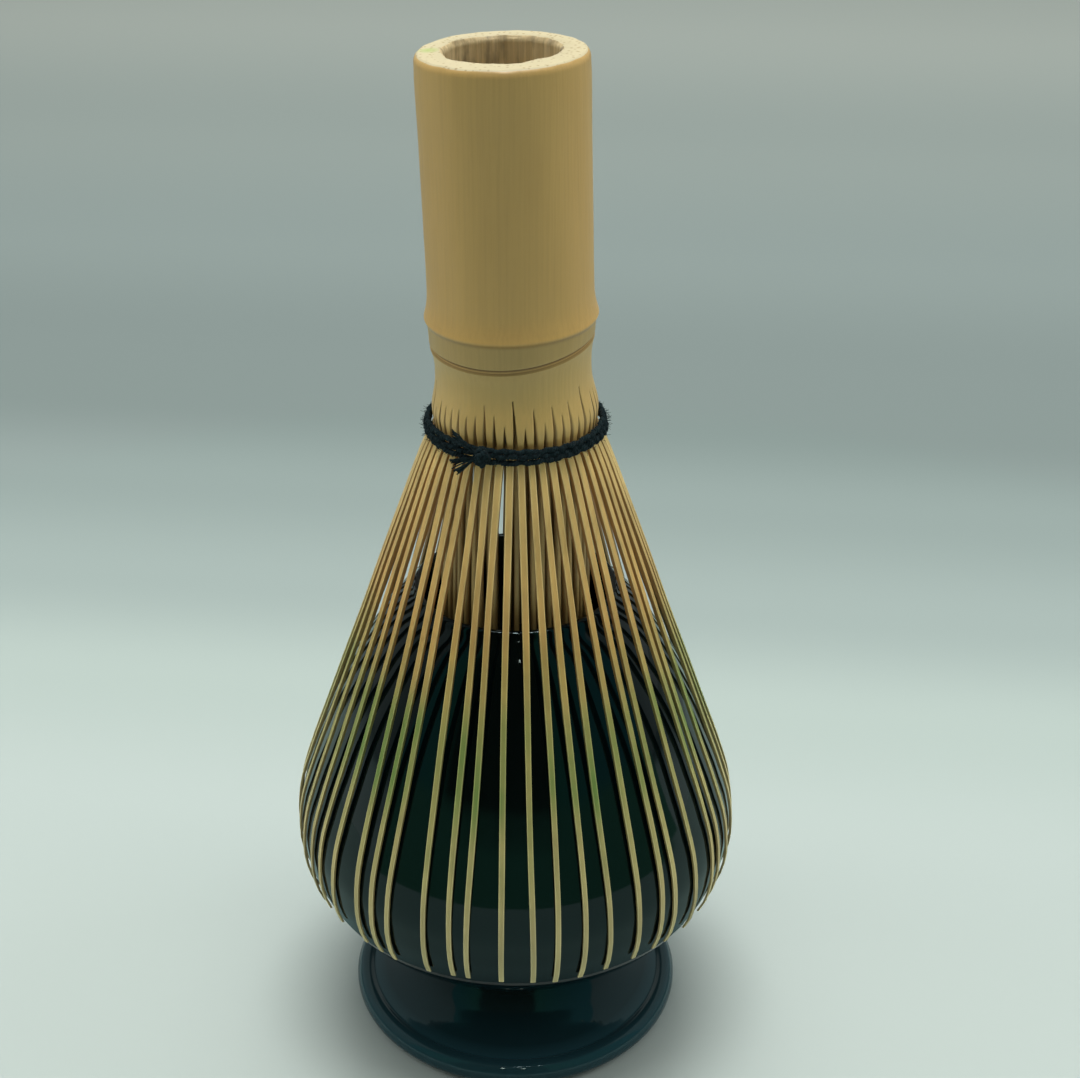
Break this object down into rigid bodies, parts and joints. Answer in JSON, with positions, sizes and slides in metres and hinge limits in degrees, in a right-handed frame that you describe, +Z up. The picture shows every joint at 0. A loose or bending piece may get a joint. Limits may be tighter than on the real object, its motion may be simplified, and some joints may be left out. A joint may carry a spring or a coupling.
{
  "type": "bamboo tea whisk",
  "caption": "Bamboo whisk for powdered tea, split into a cage of outer and inner tines bound with thread, resting on a glazed ceramic whisk stand.",
  "frame": {"origin": "on the table under the middle of the stand's foot", "axes": "+Z up through the stand's cup, -Y towards the front where the knot of the thread is, +X to the right seen from the front"},
  "size_m": [0.0606, 0.0605, 0.1363],
  "materials": {
    "bamboo_skin": "satin",
    "bamboo_core": "matte",
    "thread": "matte",
    "glaze": "gloss"
  },
  "bodies": {
    "stand": {"whisk_stand": "glaze"},
    "whisk": {"culm": "bamboo_skin", "binding_thread": "thread", "inner_tines_front": "bamboo_core", "inner_tines_right": "bamboo_core", "inner_tines_back": "bamboo_core", "inner_tines_left": "bamboo_core"},
    "outer_tine_01": {"outer_tine_01": "bamboo_skin"},
    "outer_tine_02": {"outer_tine_02": "bamboo_skin"},
    "outer_tine_03": {"outer_tine_03": "bamboo_skin"},
    "outer_tine_04": {"outer_tine_04": "bamboo_skin"},
    "outer_tine_05": {"outer_tine_05": "bamboo_skin"},
    "outer_tine_06": {"outer_tine_06": "bamboo_skin"},
    "outer_tine_07": {"outer_tine_07": "bamboo_skin"},
    "outer_tine_08": {"outer_tine_08": "bamboo_skin"},
    "outer_tine_09": {"outer_tine_09": "bamboo_skin"},
    "outer_tine_10": {"outer_tine_10": "bamboo_skin"},
    "outer_tine_11": {"outer_tine_11": "bamboo_skin"},
    "outer_tine_12": {"outer_tine_12": "bamboo_skin"},
    "outer_tine_13": {"outer_tine_13": "bamboo_skin"},
    "outer_tine_14": {"outer_tine_14": "bamboo_skin"},
    "outer_tine_15": {"outer_tine_15": "bamboo_skin"},
    "outer_tine_16": {"outer_tine_16": "bamboo_skin"},
    "outer_tine_17": {"outer_tine_17": "bamboo_skin"},
    "outer_tine_18": {"outer_tine_18": "bamboo_skin"},
    "outer_tine_19": {"outer_tine_19": "bamboo_skin"},
    "outer_tine_20": {"outer_tine_20": "bamboo_skin"},
    "outer_tine_21": {"outer_tine_21": "bamboo_skin"},
    "outer_tine_22": {"outer_tine_22": "bamboo_skin"},
    "outer_tine_23": {"outer_tine_23": "bamboo_skin"},
    "outer_tine_24": {"outer_tine_24": "bamboo_skin"},
    "outer_tine_25": {"outer_tine_25": "bamboo_skin"},
    "outer_tine_26": {"outer_tine_26": "bamboo_skin"},
    "outer_tine_27": {"outer_tine_27": "bamboo_skin"},
    "outer_tine_28": {"outer_tine_28": "bamboo_skin"},
    "outer_tine_29": {"outer_tine_29": "bamboo_skin"},
    "outer_tine_30": {"outer_tine_30": "bamboo_skin"},
    "outer_tine_31": {"outer_tine_31": "bamboo_skin"},
    "outer_tine_32": {"outer_tine_32": "bamboo_skin"},
    "outer_tine_33": {"outer_tine_33": "bamboo_skin"},
    "outer_tine_34": {"outer_tine_34": "bamboo_skin"},
    "outer_tine_35": {"outer_tine_35": "bamboo_skin"},
    "outer_tine_36": {"outer_tine_36": "bamboo_skin"},
    "outer_tine_37": {"outer_tine_37": "bamboo_skin"},
    "outer_tine_38": {"outer_tine_38": "bamboo_skin"},
    "outer_tine_39": {"outer_tine_39": "bamboo_skin"},
    "outer_tine_40": {"outer_tine_40": "bamboo_skin"},
    "outer_tine_41": {"outer_tine_41": "bamboo_skin"},
    "outer_tine_42": {"outer_tine_42": "bamboo_skin"},
    "outer_tine_43": {"outer_tine_43": "bamboo_skin"},
    "outer_tine_44": {"outer_tine_44": "bamboo_skin"},
    "outer_tine_45": {"outer_tine_45": "bamboo_skin"},
    "outer_tine_46": {"outer_tine_46": "bamboo_skin"},
    "outer_tine_47": {"outer_tine_47": "bamboo_skin"},
    "outer_tine_48": {"outer_tine_48": "bamboo_skin"},
    "outer_tine_49": {"outer_tine_49": "bamboo_skin"},
    "outer_tine_50": {"outer_tine_50": "bamboo_skin"},
    "outer_tine_51": {"outer_tine_51": "bamboo_skin"},
    "outer_tine_52": {"outer_tine_52": "bamboo_skin"}
  },
  "joints": [
    {"name": "whisk_lift", "type": "slide", "parent": "stand", "child": "whisk", "axis": [0, 0, 1], "range_m": [0, 0.1]},
    {"name": "tine_flex_01", "type": "hinge", "parent": "whisk", "child": "outer_tine_01", "pos_m": [-0.00058, 0.00961, 0.09015], "axis": [0.9982, 0.0604, 0], "range_deg": [0, 4], "stiffness_Nm_per_rad": 0.003},
    {"name": "tine_flex_02", "type": "hinge", "parent": "whisk", "child": "outer_tine_02", "pos_m": [-0.00175, 0.00947, 0.09015], "axis": [0.9835, 0.1812, 0], "range_deg": [0, 4], "stiffness_Nm_per_rad": 0.003},
    {"name": "tine_flex_03", "type": "hinge", "parent": "whisk", "child": "outer_tine_03", "pos_m": [-0.00285, 0.0092, 0.09015], "axis": [0.9553, 0.2958, 0], "range_deg": [0, 4], "stiffness_Nm_per_rad": 0.003},
    {"name": "tine_flex_04", "type": "hinge", "parent": "whisk", "child": "outer_tine_04", "pos_m": [-0.00398, 0.00877, 0.09015], "axis": [0.9109, 0.4127, 0], "range_deg": [0, 4], "stiffness_Nm_per_rad": 0.003},
    {"name": "tine_flex_05", "type": "hinge", "parent": "whisk", "child": "outer_tine_05", "pos_m": [-0.00496, 0.00826, 0.09015], "axis": [0.8574, 0.5146, 0], "range_deg": [0, 4], "stiffness_Nm_per_rad": 0.003},
    {"name": "tine_flex_06", "type": "hinge", "parent": "whisk", "child": "outer_tine_06", "pos_m": [-0.00597, 0.00756, 0.09015], "axis": [0.785, 0.6195, 0], "range_deg": [0, 4], "stiffness_Nm_per_rad": 0.003},
    {"name": "tine_flex_07", "type": "hinge", "parent": "whisk", "child": "outer_tine_07", "pos_m": [-0.00678, 0.00683, 0.09015], "axis": [0.7098, 0.7044, 0], "range_deg": [0, 4], "stiffness_Nm_per_rad": 0.003},
    {"name": "tine_flex_08", "type": "hinge", "parent": "whisk", "child": "outer_tine_08", "pos_m": [-0.0076, 0.00591, 0.09015], "axis": [0.6137, 0.7895, 0], "range_deg": [0, 4], "stiffness_Nm_per_rad": 0.003},
    {"name": "tine_flex_09", "type": "hinge", "parent": "whisk", "child": "outer_tine_09", "pos_m": [-0.00822, 0.00501, 0.09015], "axis": [0.5204, 0.8539, 0], "range_deg": [0, 4], "stiffness_Nm_per_rad": 0.003},
    {"name": "tine_flex_10", "type": "hinge", "parent": "whisk", "child": "outer_tine_10", "pos_m": [-0.00879, 0.00392, 0.09015], "axis": [0.4075, 0.9132, 0], "range_deg": [0, 4], "stiffness_Nm_per_rad": 0.003},
    {"name": "tine_flex_11", "type": "hinge", "parent": "whisk", "child": "outer_tine_11", "pos_m": [-0.00919, 0.00289, 0.09015], "axis": [0.2999, 0.954, 0], "range_deg": [0, 4], "stiffness_Nm_per_rad": 0.003},
    {"name": "tine_flex_12", "type": "hinge", "parent": "whisk", "child": "outer_tine_12", "pos_m": [-0.00948, 0.00172, 0.09015], "axis": [0.1785, 0.9839, 0], "range_deg": [0, 4], "stiffness_Nm_per_rad": 0.003},
    {"name": "tine_flex_13", "type": "hinge", "parent": "whisk", "child": "outer_tine_13", "pos_m": [-0.00961, 0.00059, 0.09015], "axis": [0.0613, 0.9981, 0], "range_deg": [0, 4], "stiffness_Nm_per_rad": 0.003},
    {"name": "tine_flex_14", "type": "hinge", "parent": "whisk", "child": "outer_tine_14", "pos_m": [-0.00961, -0.00058, 0.09015], "axis": [-0.0604, 0.9982, 0], "range_deg": [0, 4], "stiffness_Nm_per_rad": 0.003},
    {"name": "tine_flex_15", "type": "hinge", "parent": "whisk", "child": "outer_tine_15", "pos_m": [-0.00947, -0.00175, 0.09015], "axis": [-0.1812, 0.9835, 0], "range_deg": [0, 4], "stiffness_Nm_per_rad": 0.003},
    {"name": "tine_flex_16", "type": "hinge", "parent": "whisk", "child": "outer_tine_16", "pos_m": [-0.0092, -0.00285, 0.09015], "axis": [-0.2958, 0.9552, 0], "range_deg": [0, 4], "stiffness_Nm_per_rad": 0.003},
    {"name": "tine_flex_17", "type": "hinge", "parent": "whisk", "child": "outer_tine_17", "pos_m": [-0.00877, -0.00398, 0.09015], "axis": [-0.4127, 0.9109, 0], "range_deg": [0, 4], "stiffness_Nm_per_rad": 0.003},
    {"name": "tine_flex_18", "type": "hinge", "parent": "whisk", "child": "outer_tine_18", "pos_m": [-0.00826, -0.00496, 0.09015], "axis": [-0.5146, 0.8574, 0], "range_deg": [0, 4], "stiffness_Nm_per_rad": 0.003},
    {"name": "tine_flex_19", "type": "hinge", "parent": "whisk", "child": "outer_tine_19", "pos_m": [-0.00756, -0.00597, 0.09015], "axis": [-0.6195, 0.785, 0], "range_deg": [0, 4], "stiffness_Nm_per_rad": 0.003},
    {"name": "tine_flex_20", "type": "hinge", "parent": "whisk", "child": "outer_tine_20", "pos_m": [-0.00683, -0.00678, 0.09015], "axis": [-0.7044, 0.7098, 0], "range_deg": [0, 4], "stiffness_Nm_per_rad": 0.003},
    {"name": "tine_flex_21", "type": "hinge", "parent": "whisk", "child": "outer_tine_21", "pos_m": [-0.00591, -0.0076, 0.09015], "axis": [-0.7895, 0.6137, 0], "range_deg": [0, 4], "stiffness_Nm_per_rad": 0.003},
    {"name": "tine_flex_22", "type": "hinge", "parent": "whisk", "child": "outer_tine_22", "pos_m": [-0.00501, -0.00822, 0.09015], "axis": [-0.8539, 0.5204, 0], "range_deg": [0, 4], "stiffness_Nm_per_rad": 0.003},
    {"name": "tine_flex_23", "type": "hinge", "parent": "whisk", "child": "outer_tine_23", "pos_m": [-0.00392, -0.00879, 0.09015], "axis": [-0.9132, 0.4075, 0], "range_deg": [0, 4], "stiffness_Nm_per_rad": 0.003},
    {"name": "tine_flex_24", "type": "hinge", "parent": "whisk", "child": "outer_tine_24", "pos_m": [-0.00289, -0.00919, 0.09015], "axis": [-0.954, 0.2999, 0], "range_deg": [0, 4], "stiffness_Nm_per_rad": 0.003},
    {"name": "tine_flex_25", "type": "hinge", "parent": "whisk", "child": "outer_tine_25", "pos_m": [-0.00172, -0.00948, 0.09015], "axis": [-0.9839, 0.1785, 0], "range_deg": [0, 4], "stiffness_Nm_per_rad": 0.003},
    {"name": "tine_flex_26", "type": "hinge", "parent": "whisk", "child": "outer_tine_26", "pos_m": [-0.00059, -0.00961, 0.09015], "axis": [-0.9981, 0.0613, 0], "range_deg": [0, 4], "stiffness_Nm_per_rad": 0.003},
    {"name": "tine_flex_27", "type": "hinge", "parent": "whisk", "child": "outer_tine_27", "pos_m": [0.00058, -0.00961, 0.09015], "axis": [-0.9982, -0.0604, 0], "range_deg": [0, 4], "stiffness_Nm_per_rad": 0.003},
    {"name": "tine_flex_28", "type": "hinge", "parent": "whisk", "child": "outer_tine_28", "pos_m": [0.00174, -0.00947, 0.09015], "axis": [-0.9835, -0.1812, 0], "range_deg": [0, 4], "stiffness_Nm_per_rad": 0.003},
    {"name": "tine_flex_29", "type": "hinge", "parent": "whisk", "child": "outer_tine_29", "pos_m": [0.00285, -0.0092, 0.09015], "axis": [-0.9552, -0.2958, 0], "range_deg": [0, 4], "stiffness_Nm_per_rad": 0.003},
    {"name": "tine_flex_30", "type": "hinge", "parent": "whisk", "child": "outer_tine_30", "pos_m": [0.00398, -0.00877, 0.09015], "axis": [-0.9109, -0.4127, 0], "range_deg": [0, 4], "stiffness_Nm_per_rad": 0.003},
    {"name": "tine_flex_31", "type": "hinge", "parent": "whisk", "child": "outer_tine_31", "pos_m": [0.00496, -0.00826, 0.09015], "axis": [-0.8574, -0.5146, 0], "range_deg": [0, 4], "stiffness_Nm_per_rad": 0.003},
    {"name": "tine_flex_32", "type": "hinge", "parent": "whisk", "child": "outer_tine_32", "pos_m": [0.00597, -0.00756, 0.09015], "axis": [-0.785, -0.6195, 0], "range_deg": [0, 4], "stiffness_Nm_per_rad": 0.003},
    {"name": "tine_flex_33", "type": "hinge", "parent": "whisk", "child": "outer_tine_33", "pos_m": [0.00678, -0.00683, 0.09015], "axis": [-0.7098, -0.7044, 0], "range_deg": [0, 4], "stiffness_Nm_per_rad": 0.003},
    {"name": "tine_flex_34", "type": "hinge", "parent": "whisk", "child": "outer_tine_34", "pos_m": [0.0076, -0.00591, 0.09015], "axis": [-0.6137, -0.7895, 0], "range_deg": [0, 4], "stiffness_Nm_per_rad": 0.003},
    {"name": "tine_flex_35", "type": "hinge", "parent": "whisk", "child": "outer_tine_35", "pos_m": [0.00822, -0.00501, 0.09015], "axis": [-0.5204, -0.8539, 0], "range_deg": [0, 4], "stiffness_Nm_per_rad": 0.003},
    {"name": "tine_flex_36", "type": "hinge", "parent": "whisk", "child": "outer_tine_36", "pos_m": [0.00879, -0.00392, 0.09015], "axis": [-0.4075, -0.9132, 0], "range_deg": [0, 4], "stiffness_Nm_per_rad": 0.003},
    {"name": "tine_flex_37", "type": "hinge", "parent": "whisk", "child": "outer_tine_37", "pos_m": [0.00919, -0.00289, 0.09015], "axis": [-0.2999, -0.954, 0], "range_deg": [0, 4], "stiffness_Nm_per_rad": 0.003},
    {"name": "tine_flex_38", "type": "hinge", "parent": "whisk", "child": "outer_tine_38", "pos_m": [0.00948, -0.00172, 0.09015], "axis": [-0.1785, -0.9839, 0], "range_deg": [0, 4], "stiffness_Nm_per_rad": 0.003},
    {"name": "tine_flex_39", "type": "hinge", "parent": "whisk", "child": "outer_tine_39", "pos_m": [0.00961, -0.00059, 0.09015], "axis": [-0.0613, -0.9981, 0], "range_deg": [0, 4], "stiffness_Nm_per_rad": 0.003},
    {"name": "tine_flex_40", "type": "hinge", "parent": "whisk", "child": "outer_tine_40", "pos_m": [0.00961, 0.00058, 0.09015], "axis": [0.0604, -0.9982, 0], "range_deg": [0, 4], "stiffness_Nm_per_rad": 0.003},
    {"name": "tine_flex_41", "type": "hinge", "parent": "whisk", "child": "outer_tine_41", "pos_m": [0.00947, 0.00174, 0.09015], "axis": [0.1811, -0.9835, 0], "range_deg": [0, 4], "stiffness_Nm_per_rad": 0.003},
    {"name": "tine_flex_42", "type": "hinge", "parent": "whisk", "child": "outer_tine_42", "pos_m": [0.0092, 0.00285, 0.09015], "axis": [0.2958, -0.9552, 0], "range_deg": [0, 4], "stiffness_Nm_per_rad": 0.003},
    {"name": "tine_flex_43", "type": "hinge", "parent": "whisk", "child": "outer_tine_43", "pos_m": [0.00877, 0.00398, 0.09015], "axis": [0.4127, -0.9109, 0], "range_deg": [0, 4], "stiffness_Nm_per_rad": 0.003},
    {"name": "tine_flex_44", "type": "hinge", "parent": "whisk", "child": "outer_tine_44", "pos_m": [0.00826, 0.00496, 0.09015], "axis": [0.5146, -0.8574, 0], "range_deg": [0, 4], "stiffness_Nm_per_rad": 0.003},
    {"name": "tine_flex_45", "type": "hinge", "parent": "whisk", "child": "outer_tine_45", "pos_m": [0.00756, 0.00597, 0.09015], "axis": [0.6195, -0.785, 0], "range_deg": [0, 4], "stiffness_Nm_per_rad": 0.003},
    {"name": "tine_flex_46", "type": "hinge", "parent": "whisk", "child": "outer_tine_46", "pos_m": [0.00683, 0.00678, 0.09015], "axis": [0.7044, -0.7098, 0], "range_deg": [0, 4], "stiffness_Nm_per_rad": 0.003},
    {"name": "tine_flex_47", "type": "hinge", "parent": "whisk", "child": "outer_tine_47", "pos_m": [0.00591, 0.0076, 0.09015], "axis": [0.7895, -0.6137, 0], "range_deg": [0, 4], "stiffness_Nm_per_rad": 0.003},
    {"name": "tine_flex_48", "type": "hinge", "parent": "whisk", "child": "outer_tine_48", "pos_m": [0.00501, 0.00822, 0.09015], "axis": [0.8539, -0.5204, 0], "range_deg": [0, 4], "stiffness_Nm_per_rad": 0.003},
    {"name": "tine_flex_49", "type": "hinge", "parent": "whisk", "child": "outer_tine_49", "pos_m": [0.00392, 0.00879, 0.09015], "axis": [0.9132, -0.4075, 0], "range_deg": [0, 4], "stiffness_Nm_per_rad": 0.003},
    {"name": "tine_flex_50", "type": "hinge", "parent": "whisk", "child": "outer_tine_50", "pos_m": [0.00289, 0.00919, 0.09015], "axis": [0.954, -0.2999, 0], "range_deg": [0, 4], "stiffness_Nm_per_rad": 0.003},
    {"name": "tine_flex_51", "type": "hinge", "parent": "whisk", "child": "outer_tine_51", "pos_m": [0.00172, 0.00948, 0.09015], "axis": [0.9839, -0.1785, 0], "range_deg": [0, 4], "stiffness_Nm_per_rad": 0.003},
    {"name": "tine_flex_52", "type": "hinge", "parent": "whisk", "child": "outer_tine_52", "pos_m": [0.00059, 0.00961, 0.09015], "axis": [0.9981, -0.0613, 0], "range_deg": [0, 4], "stiffness_Nm_per_rad": 0.003}
  ],
  "couplings": [
    {"joint": "tine_flex_02", "follows": "tine_flex_01", "ratio": 1},
    {"joint": "tine_flex_03", "follows": "tine_flex_01", "ratio": 1},
    {"joint": "tine_flex_04", "follows": "tine_flex_01", "ratio": 1},
    {"joint": "tine_flex_05", "follows": "tine_flex_01", "ratio": 1},
    {"joint": "tine_flex_06", "follows": "tine_flex_01", "ratio": 1},
    {"joint": "tine_flex_07", "follows": "tine_flex_01", "ratio": 1},
    {"joint": "tine_flex_08", "follows": "tine_flex_01", "ratio": 1},
    {"joint": "tine_flex_09", "follows": "tine_flex_01", "ratio": 1},
    {"joint": "tine_flex_10", "follows": "tine_flex_01", "ratio": 1},
    {"joint": "tine_flex_11", "follows": "tine_flex_01", "ratio": 1},
    {"joint": "tine_flex_12", "follows": "tine_flex_01", "ratio": 1},
    {"joint": "tine_flex_13", "follows": "tine_flex_01", "ratio": 1},
    {"joint": "tine_flex_14", "follows": "tine_flex_01", "ratio": 1},
    {"joint": "tine_flex_15", "follows": "tine_flex_01", "ratio": 1},
    {"joint": "tine_flex_16", "follows": "tine_flex_01", "ratio": 1},
    {"joint": "tine_flex_17", "follows": "tine_flex_01", "ratio": 1},
    {"joint": "tine_flex_18", "follows": "tine_flex_01", "ratio": 1},
    {"joint": "tine_flex_19", "follows": "tine_flex_01", "ratio": 1},
    {"joint": "tine_flex_20", "follows": "tine_flex_01", "ratio": 1},
    {"joint": "tine_flex_21", "follows": "tine_flex_01", "ratio": 1},
    {"joint": "tine_flex_22", "follows": "tine_flex_01", "ratio": 1},
    {"joint": "tine_flex_23", "follows": "tine_flex_01", "ratio": 1},
    {"joint": "tine_flex_24", "follows": "tine_flex_01", "ratio": 1},
    {"joint": "tine_flex_25", "follows": "tine_flex_01", "ratio": 1},
    {"joint": "tine_flex_26", "follows": "tine_flex_01", "ratio": 1},
    {"joint": "tine_flex_27", "follows": "tine_flex_01", "ratio": 1},
    {"joint": "tine_flex_28", "follows": "tine_flex_01", "ratio": 1},
    {"joint": "tine_flex_29", "follows": "tine_flex_01", "ratio": 1},
    {"joint": "tine_flex_30", "follows": "tine_flex_01", "ratio": 1},
    {"joint": "tine_flex_31", "follows": "tine_flex_01", "ratio": 1},
    {"joint": "tine_flex_32", "follows": "tine_flex_01", "ratio": 1},
    {"joint": "tine_flex_33", "follows": "tine_flex_01", "ratio": 1},
    {"joint": "tine_flex_34", "follows": "tine_flex_01", "ratio": 1},
    {"joint": "tine_flex_35", "follows": "tine_flex_01", "ratio": 1},
    {"joint": "tine_flex_36", "follows": "tine_flex_01", "ratio": 1},
    {"joint": "tine_flex_37", "follows": "tine_flex_01", "ratio": 1},
    {"joint": "tine_flex_38", "follows": "tine_flex_01", "ratio": 1},
    {"joint": "tine_flex_39", "follows": "tine_flex_01", "ratio": 1},
    {"joint": "tine_flex_40", "follows": "tine_flex_01", "ratio": 1},
    {"joint": "tine_flex_41", "follows": "tine_flex_01", "ratio": 1},
    {"joint": "tine_flex_42", "follows": "tine_flex_01", "ratio": 1},
    {"joint": "tine_flex_43", "follows": "tine_flex_01", "ratio": 1},
    {"joint": "tine_flex_44", "follows": "tine_flex_01", "ratio": 1},
    {"joint": "tine_flex_45", "follows": "tine_flex_01", "ratio": 1},
    {"joint": "tine_flex_46", "follows": "tine_flex_01", "ratio": 1},
    {"joint": "tine_flex_47", "follows": "tine_flex_01", "ratio": 1},
    {"joint": "tine_flex_48", "follows": "tine_flex_01", "ratio": 1},
    {"joint": "tine_flex_49", "follows": "tine_flex_01", "ratio": 1},
    {"joint": "tine_flex_50", "follows": "tine_flex_01", "ratio": 1},
    {"joint": "tine_flex_51", "follows": "tine_flex_01", "ratio": 1},
    {"joint": "tine_flex_52", "follows": "tine_flex_01", "ratio": 1}
  ]
}
